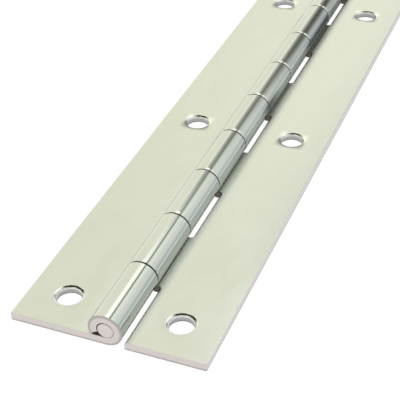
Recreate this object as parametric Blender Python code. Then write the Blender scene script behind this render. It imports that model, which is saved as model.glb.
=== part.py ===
"""Piano hinge: two sheet-steel leaves whose knuckles are rolled round one long pin.

The hinge lies open and flat on its back.  X runs across the leaves, Y along the
pin and Z up, away from the surface the leaves are screwed to.  The origin is at
the middle of the length, straight below the pin, on the plane of the leaves'
backs.  Every object has its own origin on the pin's axis, which is the axis
that the right leaf turns on.
"""

import math

import bmesh
import bpy

# Driving dimensions, in metres.
OPEN_WIDTH = 0.060
SHEET_THICKNESS = 0.00265
PIN_RADIUS = 0.00245
BORE_RADIUS = 0.0026
KNUCKLE_PITCH = 0.025
KNUCKLE_COUNT = 13
KNUCKLE_GAP = 0.0004
NOTCH_CLEARANCE = 0.00025
NOTCH_RIM_WIDTH = 0.0011
NOTCH_RIM_DROP = 0.0008
TAIL_GAP = 0.0004
PIN_CHAMFER = 0.0002

SCREW_HOLE_RADIUS = 0.0038
SCREW_HOLE_RIM = 0.0008
SCREW_HOLE_EDGE_DISTANCE = 0.0124
SCREW_HOLE_KNUCKLE_STEP = 4

# Fineness of the round surfaces.
ROLL_STEP = math.radians(9)
HOLE_SIDES = 32
PIN_SIDES = 40
SHARP_ANGLE = math.radians(30)

# How far a cutter reaches past the material it cuts.
CUTTER_MARGIN = 0.003

# Sizes that follow from the ones above.
HALF_WIDTH = OPEN_WIDTH / 2
BARREL_RADIUS = BORE_RADIUS + SHEET_THICKNESS
HINGE_LENGTH = KNUCKLE_PITCH * KNUCKLE_COUNT
NOTCH_EDGE = BARREL_RADIUS + NOTCH_CLEARANCE
LEAF_BACK = -BARREL_RADIUS
LEAF_FRONT = LEAF_BACK + SHEET_THICKNESS
SCREW_HOLE_OFFSET = HALF_WIDTH - SCREW_HOLE_EDGE_DISTANCE

# A leaf lies at -X or at +X of the pin.
LEFT = -1
RIGHT = 1


def clear_scene():
    for item in list(bpy.context.scene.objects):
        bpy.data.objects.remove(item, do_unlink=True)


def steel(name, colour, roughness):
    material = bpy.data.materials.new(name)
    material.use_nodes = True
    shader = material.node_tree.nodes["Principled BSDF"]
    shader.inputs["Base Color"].default_value = (*colour, 1.0)
    shader.inputs["Metallic"].default_value = 1.0
    shader.inputs["Roughness"].default_value = roughness
    return material


def place(name, mesh_builder, material=None):
    """Turn a bmesh drawn about the pin's axis into an object with its origin on that axis."""
    bmesh.ops.recalc_face_normals(mesh_builder, faces=mesh_builder.faces)
    mesh = bpy.data.meshes.new(name)
    mesh_builder.to_mesh(mesh)
    mesh_builder.free()
    if material:
        mesh.materials.append(material)
    item = bpy.data.objects.new(name, mesh)
    item.location = (0, 0, BARREL_RADIUS)
    bpy.context.collection.objects.link(item)
    return item


def arc(radius, start, end, steps):
    """Points (x, z) along an arc about the pin's axis."""
    angles = [start + (end - start) * i / steps for i in range(steps + 1)]
    return [(radius * math.cos(angle), radius * math.sin(angle)) for angle in angles]


def leaf_section(side):
    """Outline (x, z) of a leaf cut across one of its knuckles.

    The sheet runs flat to the point below the pin, then rolls up and over it.
    The cut end of the roll stops just above the leaf's front face.
    """
    start = -math.pi / 2
    end = math.pi + math.asin((BARREL_RADIUS - SHEET_THICKNESS - TAIL_GAP) / BARREL_RADIUS)
    steps = round((end - start) / ROLL_STEP)
    outside = arc(BARREL_RADIUS, start, end, steps)
    inside = arc(BORE_RADIUS, end, start, steps)
    flat = [(-HALF_WIDTH, LEAF_FRONT), (-HALF_WIDTH, LEAF_BACK)]
    return [(-side * x, z) for x, z in flat + outside + inside]


def extrude_along_pin(builder, outline, start, end):
    """Add a solid of constant section that runs from y = start to y = end."""
    near = [builder.verts.new((x, start, z)) for x, z in outline]
    cap = builder.faces.new(near)
    grown = bmesh.ops.extrude_face_region(builder, geom=[cap], use_keep_orig=True)
    far = [part for part in grown["geom"] if isinstance(part, bmesh.types.BMVert)]
    bmesh.ops.translate(builder, verts=far, vec=(0, end - start, 0))


def knuckle_joints():
    """The y of every joint between two knuckles, the hinge's two ends included."""
    return [KNUCKLE_PITCH * i - HINGE_LENGTH / 2 for i in range(KNUCKLE_COUNT + 1)]


def notch_cutter(name, side, first_notch):
    """Blocks that take the other leaf's knuckles out of this leaf's roll.

    Above the notch's wall a block flares, which slopes the front face down along the notch's edge.
    """
    joints = knuckle_joints()
    inner = -side * (BARREL_RADIUS + CUTTER_MARGIN)
    edge = side * NOTCH_EDGE
    low = LEAF_BACK - CUTTER_MARGIN
    high = BARREL_RADIUS + CUTTER_MARGIN
    rim = LEAF_FRONT - NOTCH_RIM_DROP
    flare = side * (NOTCH_EDGE + (high - rim) * NOTCH_RIM_WIDTH / NOTCH_RIM_DROP)
    outline = [(edge, low), (inner, low), (inner, high), (flare, high), (edge, rim)]
    builder = bmesh.new()
    for i in range(first_notch, KNUCKLE_COUNT, 2):
        near = joints[i] - (CUTTER_MARGIN if i == 0 else KNUCKLE_GAP / 2)
        far = joints[i + 1] + (CUTTER_MARGIN if i == KNUCKLE_COUNT - 1 else KNUCKLE_GAP / 2)
        extrude_along_pin(builder, outline, near, far)
    return place(name, builder)


def screw_hole_places():
    """The y of each screw hole: the middle of the first knuckle and of every fourth one on."""
    numbers = range(0, KNUCKLE_COUNT, SCREW_HOLE_KNUCKLE_STEP)
    return [(i + 0.5) * KNUCKLE_PITCH - HINGE_LENGTH / 2 for i in numbers]


def screw_hole_cutter(name, side):
    """Turned plugs: straight through the sheet, and flared where the punch drew the rim down."""
    wide = SCREW_HOLE_RADIUS + SCREW_HOLE_RIM
    profile = [
        (SCREW_HOLE_RADIUS, LEAF_BACK - CUTTER_MARGIN),
        (SCREW_HOLE_RADIUS, LEAF_FRONT - SCREW_HOLE_RIM),
        (wide, LEAF_FRONT),
        (wide, LEAF_FRONT + CUTTER_MARGIN),
    ]
    builder = bmesh.new()
    for place_y in screw_hole_places():
        rings = []
        for radius, z in profile:
            turned = bmesh.ops.create_circle(builder, segments=HOLE_SIDES, radius=radius)
            bmesh.ops.translate(builder, verts=turned["verts"], vec=(side * SCREW_HOLE_OFFSET, place_y, z))
            rings.append(turned["verts"])
        for low, high in zip(rings, rings[1:]):
            for i in range(HOLE_SIDES):
                j = (i + 1) % HOLE_SIDES
                builder.faces.new((low[i], low[j], high[j], high[i]))
        builder.faces.new(rings[0])
        builder.faces.new(rings[-1])
    return place(name, builder)


def cut(item, cutter):
    cutter.hide_render = True
    cutter.display_type = "WIRE"
    modifier = item.modifiers.new(cutter.name, "BOOLEAN")
    modifier.operation = "DIFFERENCE"
    modifier.solver = "EXACT"
    modifier.object = cutter


def smooth(item):
    item.data.shade_smooth()
    item.data.set_sharp_from_angle(angle=SHARP_ANGLE)


def make_leaf(name, side, first_notch, material):
    """A leaf with its rolled knuckles: one sheet, notched for the other leaf's knuckles."""
    builder = bmesh.new()
    extrude_along_pin(builder, leaf_section(side), -HINGE_LENGTH / 2, HINGE_LENGTH / 2)
    leaf = place(name, builder, material)
    smooth(leaf)
    cut(leaf, notch_cutter(name + "_notches", side, first_notch))
    cut(leaf, screw_hole_cutter(name + "_screw_holes", side))
    return leaf


def make_pin(name, material):
    """A plain pin, flush with the barrel at both ends, with its ends lightly chamfered."""
    half = HINGE_LENGTH / 2
    stations = [
        (-half, PIN_RADIUS - PIN_CHAMFER),
        (PIN_CHAMFER - half, PIN_RADIUS),
        (half - PIN_CHAMFER, PIN_RADIUS),
        (half, PIN_RADIUS - PIN_CHAMFER),
    ]
    turn = 2 * math.pi / PIN_SIDES
    builder = bmesh.new()
    rings = []
    for y, radius in stations:
        points = [(radius * math.cos(turn * i), y, radius * math.sin(turn * i)) for i in range(PIN_SIDES)]
        rings.append([builder.verts.new(point) for point in points])
    for near, far in zip(rings, rings[1:]):
        for i in range(PIN_SIDES):
            j = (i + 1) % PIN_SIDES
            builder.faces.new((near[i], near[j], far[j], far[i]))
    builder.faces.new(rings[0])
    builder.faces.new(rings[-1])
    pin = place(name, builder, material)
    smooth(pin)
    return pin


def main():
    clear_scene()
    make_leaf("left_leaf", LEFT, 1, steel("left_leaf_steel", (0.70, 0.72, 0.62), 0.28))
    make_leaf("right_leaf", RIGHT, 0, steel("right_leaf_steel", (0.69, 0.71, 0.62), 0.28))
    make_pin("hinge_pin", steel("pin_steel", (0.60, 0.57, 0.56), 0.35))


main()
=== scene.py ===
"""Looks of the piano hinge: two rolled leaves, the pin, their plated and sheared steel, and the studio."""

import math

import bmesh
import bpy
from mathutils import Matrix, Vector


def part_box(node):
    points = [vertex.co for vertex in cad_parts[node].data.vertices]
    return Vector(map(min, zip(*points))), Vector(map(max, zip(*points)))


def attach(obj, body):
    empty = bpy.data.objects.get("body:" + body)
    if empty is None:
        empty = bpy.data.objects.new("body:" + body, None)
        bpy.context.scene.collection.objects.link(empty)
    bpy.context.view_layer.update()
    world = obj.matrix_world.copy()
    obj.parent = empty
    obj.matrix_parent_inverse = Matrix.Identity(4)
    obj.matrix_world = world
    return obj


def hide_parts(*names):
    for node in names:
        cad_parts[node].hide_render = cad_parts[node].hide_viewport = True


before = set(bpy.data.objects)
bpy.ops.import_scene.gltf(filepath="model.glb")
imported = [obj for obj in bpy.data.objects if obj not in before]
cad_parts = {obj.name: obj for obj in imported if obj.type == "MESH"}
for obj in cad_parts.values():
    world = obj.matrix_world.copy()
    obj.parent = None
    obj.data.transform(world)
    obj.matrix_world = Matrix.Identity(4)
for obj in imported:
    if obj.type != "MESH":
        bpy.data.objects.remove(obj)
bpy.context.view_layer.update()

# ---------------------------------------------------------------- sizes, in metres

LEFT = -1
RIGHT = 1

# The left leaf reaches from its outer edge, at -X, to the barrel's other side, at +X.
LEAF_LOW, LEAF_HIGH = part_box("left_leaf")
HALF_WIDTH = -LEAF_LOW.x
HALF_LENGTH = LEAF_HIGH.y
BARREL_RADIUS = LEAF_HIGH.x

SHEET = 0.00265
BORE_RADIUS = BARREL_RADIUS - SHEET
TAIL_GAP = 0.0004
NOTCH_CLEARANCE = 0.00025
NOTCH_EDGE = BARREL_RADIUS + NOTCH_CLEARANCE
KNUCKLE_COUNT = 13
KNUCKLE_GAP = 0.0004

HOLE_RADIUS = 0.0038
HOLE_EDGE_DISTANCE = 0.0124
HOLE_OFFSET = HALF_WIDTH - HOLE_EDGE_DISTANCE
HOLE_KNUCKLE_STEP = 4

# The mesh has a square patch round each screw hole: its reach each way, and its cells along a side.
HOLE_PATCH = 0.006
HOLE_PATCH_CELLS = 12

# How strongly each screw hole, from the hinge's near end, gets a painted highlight on its rim's shoulders
# and painted shade on the side towards -v.
HOLE_SHEEN_AND_SHADE = [0.4, 1.0, 1.0, 1.0]

# Radii of the rounded edges: the corners seen from the front, the sheared rims and the punched rims.
PLAN_CORNER = 0.0004
SHEARED_RIM = 0.00025
PUNCHED_RIM = 0.0008
RIM_SEGMENTS = 3

# Along a notch's long edge the punch drew the front face down, over this width and by this much.  The
# mesh is cut at the lines' distances from that edge, and the drop fades out at the notch's ends.
NOTCH_RIM_WIDTH = 0.0011
NOTCH_RIM_DROP = 0.0008
NOTCH_RIM_LINES = [0.0011, 0.0008, 0.0006, 0.0004]
NOTCH_RIM_FADE = 0.0012
NOTCH_RIM_FADE_CELLS = 4

# At each knuckle's end that faces -v the barrel's outside is drawn down a little too, from the first
# line's distance on.  The drop grows round the roll over the run-in.
KNUCKLE_END_DROP = 0.0003
KNUCKLE_END_LINES = [0.0012, 0.0009, 0.0006, 0.0004]
KNUCKLE_END_RUN_IN = 0.004

ROLL_STEP = math.radians(4.5)
CUT_TOLERANCE = 1e-7

PIN_RADIUS = 0.00245
PIN_CHAMFER = 0.0002
PIN_SIDES = 64
PIN_CORNER_CELLS = 3

# The pin rests a little off the axis of its bores.
PIN_REST = Vector((0.00009, 0, -0.00004))

# A face of the pin belongs to a cropped end if its normal's share along the pin is more than this.
PIN_END_FROM = 0.9

# Two faces that meet at an angle between these make a square corner.
SQUARE_CORNER = (math.radians(60), math.radians(120))

# How level a face of the blank is, from 0, upright, to 1, flat: the least for the sheet's two faces and
# for a rim, and the most for a hole's wall.
FLAT_FROM = 0.99
RIM_FROM = 0.35
WALL_UP_TO = 0.1

# The same for the faces that give a point of the blank its normal.
NORMAL_FLAT_FROM = 0.999
NORMAL_SIDE_UP_TO = 0.01

# A leaf's finishes, in the order of its material slots.
PLATE, RIM, EDGE, NOTCH, HOLE_RIM, HOLE_WALL = range(6)


# ---------------------------------------------------------------- the leaves
#
# A leaf is drawn as its flat blank and then rolled, as the real one is made.  On the blank, u runs
# from the outer edge towards the pin, v along the hinge, and h from the back (0) to the front.

ROLL_START = HALF_WIDTH
ROLL_MIDDLE = BARREL_RADIUS - SHEET / 2
ROLL_ANGLE = 1.5 * math.pi + math.asin((BORE_RADIUS - TAIL_GAP) / BARREL_RADIUS)


def joint_place(number):
    """The v of a joint between knuckles, counted from the hinge's near end."""
    return (2 * number / KNUCKLE_COUNT - 1) * HALF_LENGTH


def knuckle_span(number):
    """The v at which a knuckle begins and ends."""
    start = joint_place(number)
    end = joint_place(number + 1)
    if number > 0:
        start += KNUCKLE_GAP / 2
    if number < KNUCKLE_COUNT - 1:
        end -= KNUCKLE_GAP / 2
    return start, end


def notch_span(number):
    """The v at which the notch for a knuckle begins and ends: one at the hinge's end runs out past it."""
    start = joint_place(number) - (KNUCKLE_GAP / 2 if number > 0 else 2 * NOTCH_RIM_FADE)
    end = joint_place(number + 1) + (KNUCKLE_GAP / 2 if number < KNUCKLE_COUNT - 1 else 2 * NOTCH_RIM_FADE)
    return start, end


def hole_places():
    """The v of each screw hole: the middle of the first knuckle and of every fourth one on."""
    return [joint_place(i + 0.5) for i in range(0, KNUCKLE_COUNT, HOLE_KNUCKLE_STEP)]


def hole_reach(place):
    """How far a point of the blank is from the middle of the nearest screw hole."""
    across = place.x - HALF_WIDTH + HOLE_OFFSET
    return min(math.hypot(across, place.y - hole) for hole in hole_places())


def spread(start, end, cells):
    """Evenly spaced values from start to end, both included."""
    return [start + (end - start) * i / cells for i in range(cells + 1)]


def blank_lines(own_knuckles):
    """The blank's grid lines, along u and along v."""
    hole_u = HALF_WIDTH - HOLE_OFFSET
    roll_cells = round(ROLL_ANGLE / ROLL_STEP)
    across = [0.0]
    across += spread(hole_u - HOLE_PATCH, hole_u + HOLE_PATCH, HOLE_PATCH_CELLS)
    across += [HALF_WIDTH - NOTCH_EDGE]
    across += spread(ROLL_START, ROLL_START + ROLL_ANGLE * ROLL_MIDDLE, roll_cells)
    along = {-HALF_LENGTH, HALF_LENGTH}
    for number in own_knuckles:
        along.update(knuckle_span(number))
    for place in hole_places():
        along.update(spread(place - HOLE_PATCH, place + HOLE_PATCH, HOLE_PATCH_CELLS))
    return across, sorted(along)


def flat_blank(own_knuckles):
    """One layer of faces: the plate, its fingers and a ring of faces round each screw hole."""
    across, along = blank_lines(own_knuckles)
    spans = [knuckle_span(number) for number in own_knuckles]
    hole_u = HALF_WIDTH - HOLE_OFFSET
    builder = bmesh.new()
    corners = {}

    def corner(i, j):
        if (i, j) not in corners:
            corners[i, j] = builder.verts.new((across[i], along[j], 0))
        return corners[i, j]

    def in_patch(u, v):
        return abs(u - hole_u) < HOLE_PATCH and any(abs(v - place) < HOLE_PATCH for place in hole_places())

    for i in range(len(across) - 1):
        for j in range(len(along) - 1):
            u = (across[i] + across[i + 1]) / 2
            v = (along[j] + along[j + 1]) / 2
            is_finger = u > HALF_WIDTH - NOTCH_EDGE
            in_knuckle = any(start < v < end for start, end in spans)
            if in_patch(u, v) or (is_finger and not in_knuckle):
                continue
            builder.faces.new((corner(i, j), corner(i + 1, j), corner(i + 1, j + 1), corner(i, j + 1)))

    first_u = across.index(hole_u - HOLE_PATCH)
    for place in hole_places():
        first_v = along.index(place - HOLE_PATCH)
        punch_ring(builder, corner, first_u, first_v, Vector((hole_u, place, 0)))
    return builder


def punch_ring(builder, corner, first_u, first_v, centre):
    """Faces between a square of grid corners and the round hole inside it."""
    cells = HOLE_PATCH_CELLS
    square = [corner(first_u + k, first_v) for k in range(cells)]
    square += [corner(first_u + cells, first_v + k) for k in range(cells)]
    square += [corner(first_u + cells - k, first_v + cells) for k in range(cells)]
    square += [corner(first_u, first_v + cells - k) for k in range(cells)]
    first_corner = math.radians(-135)
    count = len(square)
    circle = []
    for k in range(count):
        angle = first_corner + 2 * math.pi * k / count
        offset = Vector((math.cos(angle), math.sin(angle), 0)) * HOLE_RADIUS
        circle.append(builder.verts.new(centre + offset))
    for k in range(count):
        after = (k + 1) % count
        builder.faces.new((square[k], square[after], circle[after], circle[k]))


def square_edges(builder):
    """Edges at which two faces meet in a square corner."""
    low, high = SQUARE_CORNER
    return [edge for edge in builder.edges if edge.is_manifold and low < abs(edge.calc_face_angle()) < high]


def round_edges(builder, edges, radius):
    """Round edges off to a radius."""
    bmesh.ops.bevel(builder, geom=edges, offset=radius, segments=RIM_SEGMENTS, profile=0.5,
                    affect="EDGES", clamp_overlap=False)
    bmesh.ops.recalc_face_normals(builder, faces=builder.faces)


def thicken(builder):
    """Give the layer the sheet's thickness, then round its plan corners, punched rims and sheared rims."""
    grown = bmesh.ops.extrude_face_region(builder, geom=list(builder.faces), use_keep_orig=True)
    front = [part for part in grown["geom"] if isinstance(part, bmesh.types.BMVert)]
    bmesh.ops.translate(builder, verts=front, vec=(0, 0, SHEET))
    bmesh.ops.recalc_face_normals(builder, faces=builder.faces)

    def is_plan_corner(edge):
        first, second = (vert.co for vert in edge.verts)
        return first.x < ROLL_START and abs(first.z - second.z) > SHEET / 2

    def is_punched(edge):
        place = edge.verts[0].co
        return place.z > SHEET / 2 and hole_reach(place) < HOLE_RADIUS + SHEARED_RIM

    round_edges(builder, [edge for edge in square_edges(builder) if is_plan_corner(edge)], PLAN_CORNER)
    round_edges(builder, [edge for edge in square_edges(builder) if is_punched(edge)], PUNCHED_RIM)
    round_edges(builder, square_edges(builder), SHEARED_RIM)


def faces_where(builder, is_wanted):
    """The faces whose middle passes a test."""
    return [face for face in builder.faces if is_wanted(face.calc_center_median())]


def cut_lines(builder, faces, place, across):
    """Cut faces along the plane through a place, square to a direction."""
    edges = dict.fromkeys(edge for face in faces for edge in face.edges)
    verts = dict.fromkeys(vert for face in faces for vert in face.verts)
    bmesh.ops.bisect_plane(builder, geom=[*verts, *edges, *faces], dist=CUT_TOLERANCE,
                           plane_co=place, plane_no=across)


def notch_drop(place, notches):
    """How far the front face is drawn down at a point near a notch's long edge."""
    inward = 1 - max(HALF_WIDTH - NOTCH_EDGE - place.x, 0) / NOTCH_RIM_WIDTH
    if inward <= 0 or place.x > HALF_WIDTH - NOTCH_EDGE + PLAN_CORNER:
        return 0.0
    run_in = max(min(place.y - start, end - place.y) for start, end in notches)
    fade = min(max(run_in / NOTCH_RIM_FADE, 0), 1)
    return NOTCH_RIM_DROP * inward ** 2 * fade ** 2 * (3 - 2 * fade)


def draw_notch_rims(builder, own_knuckles):
    """Draw the front face down along the long edge of each notch, most at the edge itself."""
    edge_u = HALF_WIDTH - NOTCH_EDGE
    notches = [notch_span(number) for number in range(KNUCKLE_COUNT) if number not in own_knuckles]

    def is_on_rim(middle):
        return middle.z > SHEET / 2 and edge_u - NOTCH_RIM_WIDTH < middle.x < edge_u + PLAN_CORNER

    for line in NOTCH_RIM_LINES:
        cut_lines(builder, list(builder.faces), (edge_u - line, 0, 0), (1, 0, 0))
    for start, end in notches:
        for inset in spread(0, NOTCH_RIM_FADE, NOTCH_RIM_FADE_CELLS)[1:]:
            cut_lines(builder, faces_where(builder, is_on_rim), (0, start + inset, 0), (0, 1, 0))
            cut_lines(builder, faces_where(builder, is_on_rim), (0, end - inset, 0), (0, 1, 0))
    # The rims along the notch's edge get the dark notch finish, a painted shade, and the outer strip of the
    # drawn-down band gets the bright rim finish, a painted highlight.
    for face in faces_where(builder, is_on_rim):
        middle = face.calc_center_median()
        if notch_drop(middle, notches) > 0:
            if face.material_index == RIM and abs(face.normal.x) > abs(face.normal.y):
                face.material_index = NOTCH
            elif middle.x < edge_u - NOTCH_RIM_LINES[1]:
                face.material_index = RIM
    for vert in builder.verts:
        if vert.co.z > SHEET / 2:
            vert.co.z -= notch_drop(vert.co, notches)
    builder.normal_update()


def knuckle_end_drop(place, spans):
    """How far the barrel's outside is drawn down at a point of the blank's back."""
    run_in = min((place.x - ROLL_START) / KNUCKLE_END_RUN_IN, 1)
    for start, end in spans:
        if run_in > 0 and start - PLAN_CORNER < place.y < end:
            near_end = max(1 - (place.y - start) / KNUCKLE_END_LINES[0], 0)
            return KNUCKLE_END_DROP * run_in * near_end ** 2
    return 0.0


def draw_knuckle_ends(builder, own_knuckles):
    """Draw the barrel's outside down at each knuckle's end that faces -v, but not at the hinge's own end."""
    spans = [knuckle_span(number) for number in own_knuckles if number > 0]

    def outside(start, end):
        def is_outside(middle):
            return middle.x > ROLL_START and middle.z < SHEET / 2 and start < middle.y < end
        return faces_where(builder, is_outside)

    for start, end in spans:
        for line in KNUCKLE_END_LINES:
            cut_lines(builder, outside(start, end), (0, start + line, 0), (0, 1, 0))
        # The rim at this end of the barrel gets the dark notch finish, a painted shade in the joint.
        for face in outside(start, start + SHEARED_RIM):
            if face.material_index == RIM:
                face.material_index = NOTCH
    for vert in builder.verts:
        if vert.co.z < SHEET / 2:
            vert.co.z += knuckle_end_drop(vert.co, spans)
    builder.normal_update()


def rolled(co, side):
    """Where a point (u, v, h) of the blank lies once the knuckles are rolled."""
    if co.x <= ROLL_START:
        return Vector((side * (HALF_WIDTH - co.x), co.y, co.z))
    angle = (co.x - ROLL_START) / ROLL_MIDDLE
    radius = BARREL_RADIUS - co.z
    return Vector((-side * radius * math.sin(angle), co.y, BARREL_RADIUS - radius * math.cos(angle)))


def blank_normal(vert):
    """The smooth normal at a point of the blank.

    Beside a flat face or a cut side it is that face's own, so a rim's curve leaves both of them smoothly.
    """
    faces = vert.link_faces
    flat = [face.normal for face in faces if abs(face.normal.z) > NORMAL_FLAT_FROM]
    side = [face.normal for face in faces if abs(face.normal.z) < NORMAL_SIDE_UP_TO]
    chosen = flat or side or [face.normal for face in faces]
    return sum(chosen, Vector()).normalized()


def rolled_normal(place, normal, side):
    """A blank's normal once the knuckles are rolled."""
    turned = Vector((-side * normal.x, normal.y, normal.z))
    if place.x > ROLL_START:
        angle = (place.x - ROLL_START) / ROLL_MIDDLE
        turned.rotate(Matrix.Rotation(side * angle, 3, "Y"))
    return turned


def face_finish(face):
    """The finish of a face of the flat blank."""
    middle = face.calc_center_median()
    level = abs(face.normal.z)
    if level > FLAT_FROM:
        return PLATE
    if hole_reach(middle) < HOLE_RADIUS + PUNCHED_RIM:
        # A hole's wall gets the darkened wall finish, a painted shade.
        return HOLE_WALL if level < WALL_UP_TO else HOLE_RIM
    is_end = abs(middle.y) > HALF_LENGTH - PLAN_CORNER
    if level > RIM_FROM and not is_end:
        return RIM
    # The cut sides in the notches and at the knuckles' ends get the dark notch finish, a painted shade.
    return EDGE if is_end or middle.x < PLAN_CORNER else NOTCH


def rim_side(place):
    """Which side of the nearest screw hole a point lies on: 1 towards +v, -1 towards -v."""
    along = min((place.y - hole for hole in hole_places()), key=abs)
    return along / hole_reach(place)


def rim_sheen_and_shade(place):
    """How much painted highlight and shade a point beside a screw hole gets."""
    places = hole_places()
    number = min(range(len(places)), key=lambda i: abs(place.y - places[i]))
    fade = (HOLE_PATCH - hole_reach(place)) / (HOLE_PATCH - HOLE_RADIUS - PUNCHED_RIM)
    return HOLE_SHEEN_AND_SHADE[number] * min(max(fade, 0), 1)


def rim_turn(place):
    """How far round a screw hole's rim a point lies: 0 on the front face, 1 on the hole's wall."""
    inward = HOLE_RADIUS + PUNCHED_RIM - hole_reach(place)
    if inward <= 0:
        return 0.0
    drop = max(place.z - SHEET + PUNCHED_RIM, 0)
    return math.atan2(inward, drop) / (math.pi / 2)


def make_leaf(name, side, own_knuckles, finishes):
    """A leaf: its blank is drawn flat, its points are marked for the finishes, and then it is rolled."""
    builder = flat_blank(own_knuckles)
    thicken(builder)
    depth = builder.verts.layers.float.new("depth")
    turn = builder.verts.layers.float.new("rim_turn")
    side_of_hole = builder.verts.layers.float.new("rim_side")
    sheen_and_shade = builder.verts.layers.float.new("rim_sheen_and_shade")
    for face in builder.faces:
        face.material_index = face_finish(face)
    draw_notch_rims(builder, own_knuckles)
    draw_knuckle_ends(builder, own_knuckles)
    normals = [rolled_normal(vert.co, blank_normal(vert), side) for vert in builder.verts]
    for vert in builder.verts:
        vert[depth] = vert.co.z / SHEET
        vert[turn] = rim_turn(vert.co)
        vert[side_of_hole] = rim_side(vert.co)
        vert[sheen_and_shade] = rim_sheen_and_shade(vert.co)
        vert.co = rolled(vert.co, side)
    if side == RIGHT:
        bmesh.ops.reverse_faces(builder, faces=builder.faces)
    return finish_piece(name, builder, normals, finishes)


def finish_piece(name, builder, normals, finishes):
    """Turn a drawing into an object whose shading follows the normals given for its points."""
    mesh = bpy.data.meshes.new(name)
    builder.to_mesh(mesh)
    builder.free()
    mesh.shade_smooth()
    mesh.normals_split_custom_set_from_vertices(normals)
    for finish in finishes:
        mesh.materials.append(finish)
    piece = bpy.data.objects.new(name, mesh)
    bpy.context.scene.collection.objects.link(piece)
    return piece


# ---------------------------------------------------------------- the pin

def make_pin(name, finishes):
    """Drawn wire, cropped at both ends: a plain shaft with softened end corners."""
    corner = []
    for tilt in spread(0, math.pi / 2, PIN_CORNER_CELLS):
        inset = PIN_CHAMFER * (1 - math.cos(tilt))
        corner.append((inset, PIN_RADIUS - PIN_CHAMFER * (1 - math.sin(tilt)), tilt))
    stations = [(inset - HALF_LENGTH, radius, tilt, -1) for inset, radius, tilt in corner]
    stations += [(HALF_LENGTH - inset, radius, tilt, 1) for inset, radius, tilt in reversed(corner)]
    builder = bmesh.new()
    rings = []
    normals = []
    for y, radius, tilt, end in stations:
        ring = []
        for k in range(PIN_SIDES):
            angle = 2 * math.pi * k / PIN_SIDES
            out = Vector((math.cos(angle), 0, math.sin(angle)))
            ring.append(builder.verts.new(out * radius + Vector((0, y, BARREL_RADIUS)) + PIN_REST))
            normals.append(out * math.sin(tilt) + Vector((0, end * math.cos(tilt), 0)))
        rings.append(ring)
    for first, second in zip(rings, rings[1:]):
        for k in range(PIN_SIDES):
            after = (k + 1) % PIN_SIDES
            builder.faces.new((first[k], first[after], second[after], second[k]))
    builder.faces.new(rings[0])
    builder.faces.new(rings[-1])
    bmesh.ops.recalc_face_normals(builder, faces=builder.faces)
    for face in builder.faces:
        face.material_index = 1 if abs(face.normal.y) > PIN_END_FROM else 0
    return finish_piece(name, builder, normals, finishes)


# ---------------------------------------------------------------- materials

# Tints, as linear red, green and blue.
SHEET_TINT = (0.73, 0.75, 0.70)
# Burnished rims, brightened further as a painted highlight.
BURNISH_AND_HIGHLIGHT_TINT = (0.93, 0.95, 0.90)
EDGE_TINT = (0.67, 0.62, 0.60)
# Painted shade on the cut sides in the notches and at the knuckles' ends, and on the rims along the notches.
NOTCH_SHADE_TINT = (0.11, 0.09, 0.075)
# Painted shade inside the screw holes.
HOLE_WALL_SHADE_TINT = (0.42, 0.41, 0.41)
PIN_TINT = (0.70, 0.65, 0.63)
# Painted shade in the creases.
CREASE_SHADE_TINT = (0.10, 0.09, 0.07)
# Painted shade, a dark reflection, on the barrel's lower flanks.
LOWER_FLANK_SHADE_TINT = (0.20, 0.25, 0.27)
# Painted shade on the barrel's right flank, round the joints.
RIGHT_FLANK_SHADE_TINT = (0.05, 0.06, 0.07)
# Painted highlight on the screw holes' rim shoulders.
SHOULDER_HIGHLIGHT_TINT = (1.0, 1.0, 0.95)
# Painted shade beside the screw holes, towards -v.
HOLE_SHADE_TINT = (0.25, 0.25, 0.24)
# Painted shade, a dark reflection, on the punched rims towards +v.
PUNCHED_RIM_SHADE_TINT = (0.03, 0.03, 0.02)

# Where the painted shade and the dull plating on the plated sheet lie, in metres.  A pair runs from
# where something begins to where it is full.  It gives heights, places across the hinge or distances
# past a joint where its name says so, and otherwise places along the hinge.  NEAR is the share at the
# hinge's near end.

# Painted shade in the creases where the barrel meets the leaves.
CREASE_OFFSET = 0.0002
CREASE_SHADE_SPREAD = 0.0012
CREASE_SHADE_CLIMB = 0.0042
CREASE_SHADE_GROWS = (-0.100, 0.020)
CREASE_SHADE_NEAR = 0.15

# Painted shade, a dark reflection, on the barrel's lower flanks.
FLANK_FOOT = 0.0004
LOWER_FLANK_SHADE_HEIGHTS = (0.0081, 0.00775)
LOWER_FLANK_SHADE_GROWS = (-0.020, 0.040)
LOWER_FLANK_SHADE_NEAR = 0.31

# Painted shade on the barrel's right flank, round the joints.
RIGHT_FLANK_SHADE_AMOUNT = 0.8
RIGHT_FLANK_SHADE_HEIGHTS = (0.0084, 0.0072)
RIGHT_FLANK_SHADE_ACROSS = (0, 0.001)
RIGHT_FLANK_SHADE_FROM_JOINT = {LEFT: (0.009, 0.001), RIGHT: (0.014, 0.003)}
RIGHT_FLANK_SHADE_STARTS = (-0.060, -0.040)
RIGHT_FLANK_SHADE_FILLS = (0.000, 0.020)
RIGHT_FLANK_SHADE_GIVES_OUT = (0.100, 0.075)

# Dull plating on the leaf beside the barrel.
DULL_REACH = 0.0045
DULL_HEIGHTS = (SHEET + 0.0008, SHEET + 0.0002)
DULL_ROUGHNESS = 0.28

# How quickly the painted highlight and shade round a screw hole fade with their distance from the hole.
SHEEN_AND_SHADE_FALL = 2.5


def opaque(tint):
    return (*tint, 1)


def darker(tint, share):
    """A tint times a share, as an opaque colour."""
    return opaque([channel * share for channel in tint])


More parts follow.
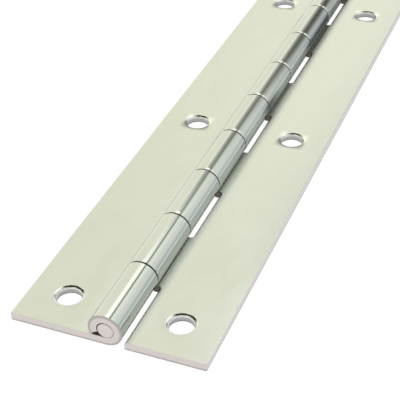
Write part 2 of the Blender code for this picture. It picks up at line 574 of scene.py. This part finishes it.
class Shader:
    """A few words for wiring a node tree."""

    def __init__(self, tree):
        self.tree = tree

    def node(self, kind, **settings):
        made = self.tree.nodes.new(kind)
        for key, value in settings.items():
            setattr(made, key, value)
        return made

    def feed(self, socket, value):
        if isinstance(value, bpy.types.NodeSocket):
            self.tree.links.new(value, socket)
        elif value is not None:
            socket.default_value = value

    def math(self, operation, first, second=None):
        made = self.node("ShaderNodeMath", operation=operation)
        for socket, value in zip(made.inputs, (first, second)):
            self.feed(socket, value)
        return made.outputs[0]

    def product(self, first, *others):
        for other in others:
            first = self.math("MULTIPLY", first, other)
        return first

    def scaled(self, vector, scale):
        made = self.node("ShaderNodeVectorMath", operation="MULTIPLY")
        self.feed(made.inputs[0], vector)
        self.feed(made.inputs[1], scale)
        return made.outputs[0]

    def xyz(self, vector):
        parts = self.node("ShaderNodeSeparateXYZ")
        self.feed(parts.inputs[0], vector)
        return parts.outputs

    def layer(self, name):
        """A number that the mesh carries at each point."""
        return self.node("ShaderNodeAttribute", attribute_name=name).outputs["Fac"]

    def noise(self, place, cells, detail=2.0, roughness=0.5):
        """Noise with so many cells to the metre along X, Y and Z."""
        made = self.node("ShaderNodeTexNoise")
        self.feed(made.inputs["Vector"], self.scaled(place, cells))
        made.inputs["Scale"].default_value = 1.0
        made.inputs["Detail"].default_value = detail
        made.inputs["Roughness"].default_value = roughness
        return made.outputs["Fac"]

    def span(self, value, low, high, to_low=0.0, to_high=1.0):
        """Move a value from the range low to high to the range to_low to to_high, and stop at its ends."""
        made = self.node("ShaderNodeMapRange")
        for socket, given in zip(made.inputs, (value, low, high, to_low, to_high)):
            self.feed(socket, given)
        return made.outputs[0]

    def vary(self, noise, to_low=0.0, to_high=1.0):
        """Move a noise from the range that it mostly keeps to, 0.3 to 0.7, to another range."""
        return self.span(noise, 0.3, 0.7, to_low, to_high)

    def mix(self, factor, first, second):
        made = self.node("ShaderNodeMix", data_type="RGBA")
        self.feed(made.inputs["Factor"], factor)
        self.feed(made.inputs[6], first)
        self.feed(made.inputs[7], second)
        return made.outputs[2]

    def bump(self, height, distance, below=None):
        made = self.node("ShaderNodeBump")
        made.inputs["Strength"].default_value = 1.0
        made.inputs["Distance"].default_value = distance
        self.feed(made.inputs["Height"], height)
        self.feed(made.inputs["Normal"], below)
        return made.outputs["Normal"]

    def dress(self, colour, roughness, normal):
        """Give the tree's surface its colour, roughness and normal."""
        surface = self.tree.nodes["Principled BSDF"]
        self.feed(surface.inputs["Base Color"], colour)
        self.feed(surface.inputs["Roughness"], roughness)
        self.feed(surface.inputs["Normal"], normal)


def new_metal(name):
    """A fully metallic material, its wiring helper and the point on the piece, in metres."""
    material = bpy.data.materials.new(name)
    material.use_nodes = True
    material.node_tree.nodes["Principled BSDF"].inputs["Metallic"].default_value = 1.0
    wire = Shader(material.node_tree)
    place = wire.node("ShaderNodeTexCoord").outputs["Object"]
    return material, wire, place


def crease_shade(wire, place, smear_and_shade):
    """How much painted shade lies at a point: it is darkest in the creases where the barrel meets the
    leaves.

    It spreads further up the barrel than out over the leaf, and is unevenly laid along the hinge.
    """
    x, y, z = wire.xyz(place)
    across = wire.math("SUBTRACT", wire.math("ABSOLUTE", x), BARREL_RADIUS + CREASE_OFFSET)
    above = wire.product(wire.math("SUBTRACT", z, SHEET), CREASE_SHADE_SPREAD / CREASE_SHADE_CLIMB)
    away = wire.math("SQRT", wire.math("ADD", wire.product(across, across), wire.product(above, above)))
    ragged = wire.product(away, wire.vary(smear_and_shade, 0.8, 1.25))
    amount = wire.math("POWER", wire.span(ragged, CREASE_SHADE_SPREAD, 0), 1.5)
    return wire.product(amount, wire.span(y, *CREASE_SHADE_GROWS, CREASE_SHADE_NEAR, 1))


def on_flank(wire, z, heights):
    """1 on the barrel's lower flank, up to the second height, and 0 above the first one and on the leaf."""
    return wire.product(wire.span(z, *heights), wire.span(z, SHEET, SHEET + FLANK_FOOT))


def lower_flank_shade(wire, place, smear_and_shade, far_lower_flank_shade):
    """How much painted shade, a dark reflection, lies at a point: it stays on the barrel's lower flanks."""
    _, y, z = wire.xyz(place)
    film = wire.product(on_flank(wire, z, LOWER_FLANK_SHADE_HEIGHTS), wire.vary(smear_and_shade, 0.8, 1.2))
    return wire.product(film, wire.span(y, *LOWER_FLANK_SHADE_GROWS, LOWER_FLANK_SHADE_NEAR, far_lower_flank_shade))


def right_flank_shade(wire, place, side):
    """How much painted shade lies at a point of the barrel's right flank.

    It lies round the joints where the turning leaf's knuckles begin.  Past the hinge's middle it covers
    that leaf's flank, and it gives out towards the far end.
    """
    x, y, z = wire.xyz(place)
    past = wire.product(wire.math("SUBTRACT", y, joint_place(1)), side)
    from_joint = wire.math("FLOORED_MODULO", past, joint_place(2) - joint_place(0))
    shade_amount = wire.product(wire.span(from_joint, *RIGHT_FLANK_SHADE_FROM_JOINT[side]), wire.span(y, *RIGHT_FLANK_SHADE_STARTS))
    if side == RIGHT:
        shade_amount = wire.math("MAXIMUM", shade_amount, wire.span(y, *RIGHT_FLANK_SHADE_FILLS))
    flank = wire.product(on_flank(wire, z, RIGHT_FLANK_SHADE_HEIGHTS), wire.span(x, *RIGHT_FLANK_SHADE_ACROSS))
    return wire.product(shade_amount, wire.span(y, *RIGHT_FLANK_SHADE_GIVES_OUT), flank, RIGHT_FLANK_SHADE_AMOUNT)


def crease_dullness(wire, place):
    """How dull the plating is at a point: it is dull on the leaf beside the barrel, where no rag reaches."""
    x, _, z = wire.xyz(place)
    beside = wire.span(wire.math("ABSOLUTE", x), BARREL_RADIUS + DULL_REACH, BARREL_RADIUS)
    return wire.product(beside, wire.span(z, *DULL_HEIGHTS))


def hole_sheen_and_shade(wire, colour):
    """A colour with a painted highlight on a screw hole's rim shoulders and painted shade towards -v."""
    side = wire.layer("rim_side")
    sheen_and_shade = wire.math("POWER", wire.layer("rim_sheen_and_shade"), SHEEN_AND_SHADE_FALL)
    shoulder = wire.product(wire.span(side, 0.10, 0.35), wire.span(side, 0.90, 0.70), sheen_and_shade)
    bright = wire.mix(shoulder, colour, opaque(SHOULDER_HIGHLIGHT_TINT))
    smear_and_shade = wire.product(wire.span(side, -0.05, -0.4), sheen_and_shade)
    return wire.mix(smear_and_shade, bright, opaque(HOLE_SHADE_TINT))


def plated_sheet(name, tint, far_lower_flank_shade, side):
    """Bright plated sheet: a fine grain along the hinge, slight waves, faint smears, painted shade and
    highlights.
    """
    material, wire, place = new_metal(name)
    grain = wire.noise(place, (5000, 90, 5000), detail=3, roughness=0.6)
    wave = wire.noise(place, (70, 22, 70), detail=1)
    smear_and_shade = wire.noise(place, (160, 60, 160), detail=4, roughness=0.6)
    crease_shade_amount = crease_shade(wire, place, smear_and_shade)

    smeared = (tint[0] * 0.97, tint[1] * 0.97, tint[2] * 0.96)
    colour = wire.mix(wire.span(smear_and_shade, 0.35, 0.65), opaque(smeared), opaque(tint))
    # Painted shade on the lower flanks, the right flank and in the creases, and a painted highlight and
    # painted shade round the screw holes.
    colour = wire.mix(lower_flank_shade(wire, place, smear_and_shade, far_lower_flank_shade), colour, opaque(LOWER_FLANK_SHADE_TINT))
    colour = wire.mix(right_flank_shade(wire, place, side), colour, opaque(RIGHT_FLANK_SHADE_TINT))
    colour = hole_sheen_and_shade(wire, colour)
    colour = wire.mix(crease_shade_amount, colour, opaque(CREASE_SHADE_TINT))

    rough = wire.math("ADD", wire.vary(smear_and_shade, 0.11, 0.15), wire.vary(grain, -0.02, 0.02))
    rough = wire.math("ADD", rough, wire.product(crease_shade_amount, 0.25))
    rough = wire.math("ADD", rough, wire.product(crease_dullness(wire, place), DULL_ROUGHNESS))
    wire.dress(colour, rough, wire.bump(grain, 0.0000012, below=wire.bump(wave, 0.00002)))
    return material


def sheared_edge(name, tint):
    """The cut side of the sheet: burnished where the shear went in, torn and dull below."""
    material, wire, place = new_metal(name)
    tear = wire.noise(place, (2500, 2500, 900), detail=4, roughness=0.7)
    drag_and_shade = wire.noise(place, (4000, 4000, 250))
    line = wire.math("ADD", wire.layer("depth"), wire.vary(tear, -0.04, 0.04))
    torn = wire.span(line, 0.34, 0.24)
    burnished = wire.mix(wire.vary(drag_and_shade), darker(tint, 0.93), opaque(tint))
    height = wire.math("ADD", wire.product(drag_and_shade, 0.3), wire.product(tear, torn))
    wire.dress(wire.mix(torn, burnished, darker(tint, 0.72)), wire.span(torn, 0, 1, 0.34, 0.5),
               wire.bump(height, 0.00001))
    return material


def burnished_and_highlit_rim(name, tint):
    """The rounded edge between a face and a cut side, rubbed bright by handling and painted as a highlight,
    with small nicks.
    """
    material, wire, place = new_metal(name)
    nick = wire.noise(place, (1800, 1800, 1800), detail=3, roughness=0.6)
    colour = wire.mix(wire.span(nick, 0.38, 0.55), darker(tint, 0.8), opaque(tint))
    wire.dress(colour, wire.vary(nick, 0.32, 0.2), wire.bump(nick, 0.000008))
    return material


def punched_rim(name, tint):
    """The rim that the punch drew down: polished and painted bright, with painted shade towards -v and +v.
    """
    material, wire, place = new_metal(name)
    streak = wire.noise(place, (1100, 1100, 1100), detail=3, roughness=0.6)
    turn = wire.math("ADD", wire.layer("rim_turn"), wire.vary(streak, -0.08, 0.08))
    side = wire.math("SUBTRACT", wire.layer("rim_side"), wire.product(wire.layer("rim_sheen_and_shade"), 0.35))
    drag_and_shade = wire.product(wire.span(turn, 0.0, 0.08), wire.span(turn, 0.62, 0.50), wire.span(side, 0.30, 0.60))
    colour = wire.mix(drag_and_shade, hole_sheen_and_shade(wire, opaque(tint)), opaque(PUNCHED_RIM_SHADE_TINT))
    wire.dress(colour, wire.span(drag_and_shade, 0, 1, 0.2, 0.45), wire.bump(streak, 0.000006))
    return material


def drawn_wire(name, tint):
    """The pin's side: drawing lines along it."""
    material, wire, place = new_metal(name)
    line = wire.noise(place, (6000, 40, 6000))
    wire.dress(opaque(tint), wire.vary(line, 0.22, 0.34), wire.bump(line, 0.000002))
    return material


def cropped_end(name, tint):
    """The pin's cropped end: fine marks in one direction on a dull face."""
    material, wire, place = new_metal(name)
    mark = wire.noise(place, (900, 900, 6000), detail=3, roughness=0.6)
    blot = wire.noise(place, (900, 900, 900), detail=3)
    colour = wire.mix(wire.span(blot, 0.35, 0.65), darker(tint, 0.93), opaque(tint))
    wire.dress(colour, wire.vary(mark, 0.36, 0.5), wire.bump(mark, 0.000004))
    return material


# ---------------------------------------------------------------- studio

# The light tent is a tunnel of cloth along the hinge.  A ring gives its brightness round the tunnel, as
# (degrees from straight up towards +X, brightness), for the directions whose share along the hinge is
# the number before it.  Between two rings the brightness blends.
TENT_RINGS = [
    (0.69, [(-180, 0.90), (-100, 0.93), (-40, 0.94), (-21, 0.95), (-17, 1.45), (3, 1.45), (7, 0.60),
            (10, 0.25), (13, 0.20), (17, 0.65), (22, 1.10), (35, 0.93), (50, 0.82), (66, 0.78),
            (76, 0.62), (88, 0.46)]),
    (0.75, [(-180, 0.90), (-100, 0.93), (-40, 0.95), (-24, 1.00), (-20, 0.90), (-16, 0.50), (-6, 0.36),
            (5, 0.24), (11, 0.28), (16, 0.60), (22, 0.98), (35, 0.96), (50, 0.86), (68, 0.78),
            (80, 0.58), (92, 0.46)]),
    (0.805, [(-180, 0.90), (-100, 0.93), (-40, 0.94), (-24, 1.06), (-20, 0.98), (-16, 0.56), (-6, 0.38),
             (6, 0.18), (12, 0.22), (20, 0.42), (29, 0.62), (40, 0.75), (52, 0.80), (66, 0.76),
             (78, 0.62), (92, 0.46)]),
    (0.85, [(-180, 0.90), (-100, 0.93), (-40, 0.94), (-24, 1.08), (-20, 1.04), (-16, 0.66), (-5, 0.44),
            (5, 0.20), (12, 0.10), (22, 0.05), (32, 0.08), (42, 0.22), (54, 0.42), (66, 0.54),
            (78, 0.50), (92, 0.36)]),
]

# The cloth's colour round the tunnel: warm on the left, cool on the right.
TENT_CLOTH = [
    (-180, (1.00, 1.01, 0.87)), (-23, (1.00, 1.01, 0.87)), (-14, (1.00, 0.99, 1.00)),
    (0, (1.00, 1.05, 0.95)), (12, (1.00, 1.05, 0.96)), (30, (1.00, 1.02, 0.97)),
    (55, (1.00, 1.04, 1.02)), (85, (1.00, 1.08, 1.12)), (180, (1.00, 1.08, 1.12)),
]

# The share along the hinge at which the cloth ends and at which the white end is reached.
TENT_END = (0.90, 0.96)

# The floor's half side, and its room below a leaf that hangs straight down.
FLOOR_REACH = 60.0
FLOOR_ROOM = 0.005

# The camera looks at a point near the hinge's centre line, from this far away.
CAMERA_AZIMUTH = math.radians(22.7)
CAMERA_ELEVATION = math.radians(36.15)
CAMERA_ROLL = math.radians(-1.65)
CAMERA_DISTANCE = 0.3583
CAMERA_AIM = Vector((-0.0007, 0.07215 - HALF_LENGTH, 0.0))
CAMERA_LENS = 98.8
CAMERA_SENSOR = 36.0


def tent_ramp(wire, turn, stops):
    """The colour or brightness round the tunnel, where a whole turn runs from 0 to 1."""
    ramp = wire.node("ShaderNodeValToRGB")
    wire.feed(ramp.inputs["Fac"], turn)
    elements = ramp.color_ramp.elements
    while len(elements) < len(stops):
        elements.new(0.5)
    for element, (degrees, light) in zip(elements, stops):
        element.position = degrees / 360 + 0.5
        element.color = (*light, 1) if isinstance(light, tuple) else (light, light, light, 1)
    return ramp.outputs["Color"]


def make_world():
    """A light tent round the hinge, with darker cloth overhead towards its far end and plain white ends."""
    world = bpy.data.worlds.new("light_tent")
    world.use_nodes = True
    bpy.context.scene.world = world
    wire = Shader(world.node_tree)
    x, y, z = wire.xyz(wire.node("ShaderNodeTexCoord").outputs["Generated"])
    turn = wire.math("ADD", wire.math("DIVIDE", wire.math("ARCTAN2", x, z), 2 * math.pi), 0.5)
    along = wire.math("ABSOLUTE", y)
    place, stops = TENT_RINGS[0]
    tent = tent_ramp(wire, turn, stops)
    for next_place, next_stops in TENT_RINGS[1:]:
        tent = wire.mix(wire.span(along, place, next_place), tent, tent_ramp(wire, turn, next_stops))
        place = next_place
    tent = wire.scaled(tent, tent_ramp(wire, turn, TENT_CLOTH))
    tent = wire.mix(wire.span(along, *TENT_END), tent, opaque((1, 1, 1)))
    wire.feed(world.node_tree.nodes["Background"].inputs["Color"], tent)


def make_floor():
    """A plain white light table, far enough below the hinge for a leaf to hang straight down."""
    builder = bmesh.new()
    bmesh.ops.create_grid(builder, x_segments=1, y_segments=1, size=FLOOR_REACH)
    mesh = bpy.data.meshes.new("floor")
    builder.to_mesh(mesh)
    builder.free()
    glow = bpy.data.materials.new("light_table")
    glow.use_nodes = True
    shader = glow.node_tree.nodes["Principled BSDF"]
    shader.inputs["Base Color"].default_value = (0.02, 0.02, 0.02, 1)
    shader.inputs["Emission Color"].default_value = (1, 1, 1, 1)
    shader.inputs["Emission Strength"].default_value = 1.0
    shader.inputs["Specular IOR Level"].default_value = 0.0
    mesh.materials.append(glow)
    floor = bpy.data.objects.new("floor", mesh)
    floor.location.z = BARREL_RADIUS - HALF_WIDTH - FLOOR_ROOM
    bpy.context.scene.collection.objects.link(floor)


def make_camera():
    """A long lens that looks down along the hinge from its near end, slightly from the right."""
    data = bpy.data.cameras.new("camera")
    data.lens = CAMERA_LENS
    data.sensor_width = CAMERA_SENSOR
    data.clip_start = 0.01
    data.clip_end = 200.0
    camera = bpy.data.objects.new("camera", data)
    level = math.cos(CAMERA_ELEVATION)
    rise = math.sin(CAMERA_ELEVATION)
    back = Vector((math.sin(CAMERA_AZIMUTH) * level, -math.cos(CAMERA_AZIMUTH) * level, rise))
    turn = back.to_track_quat("Z", "Y").to_matrix().to_4x4()
    roll = Matrix.Rotation(CAMERA_ROLL, 4, "Z")
    camera.matrix_world = Matrix.Translation(CAMERA_AIM + back * CAMERA_DISTANCE) @ turn @ roll
    bpy.context.scene.collection.objects.link(camera)
    bpy.context.scene.camera = camera


# ---------------------------------------------------------------- assembly

def main():
    bpy.context.scene.view_settings.view_transform = "Standard"
    cuts = [
        burnished_and_highlit_rim("burnished_and_highlit_rim", BURNISH_AND_HIGHLIGHT_TINT),
        sheared_edge("sheared_edge", EDGE_TINT),
        sheared_edge("shaded_notched_edge", NOTCH_SHADE_TINT),
        punched_rim("punched_rim", BURNISH_AND_HIGHLIGHT_TINT),
        sheared_edge("shaded_punched_wall", HOLE_WALL_SHADE_TINT),
    ]
    left_finishes = [plated_sheet("left_plate", SHEET_TINT, far_lower_flank_shade=0.6, side=LEFT), *cuts]
    right_finishes = [plated_sheet("right_plate", SHEET_TINT, far_lower_flank_shade=1.0, side=RIGHT), *cuts]
    pieces = [
        (make_leaf("left_leaf_sheet", LEFT, range(0, KNUCKLE_COUNT, 2), left_finishes),
         "fixed_leaf", "left_leaf", "left_leaf_steel"),
        (make_leaf("right_leaf_sheet", RIGHT, range(1, KNUCKLE_COUNT, 2), right_finishes),
         "turning_leaf", "right_leaf", "right_leaf_steel"),
        (make_pin("pin_wire", [drawn_wire("drawn_steel", PIN_TINT), cropped_end("cropped_steel", PIN_TINT)]),
         "fixed_leaf", "hinge_pin", "pin_steel"),
    ]
    for piece, body, node, slot in pieces:
        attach(piece, body)
        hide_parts(node)
    make_world()
    make_floor()
    make_camera()


main()
bpy.context.view_layer.update()
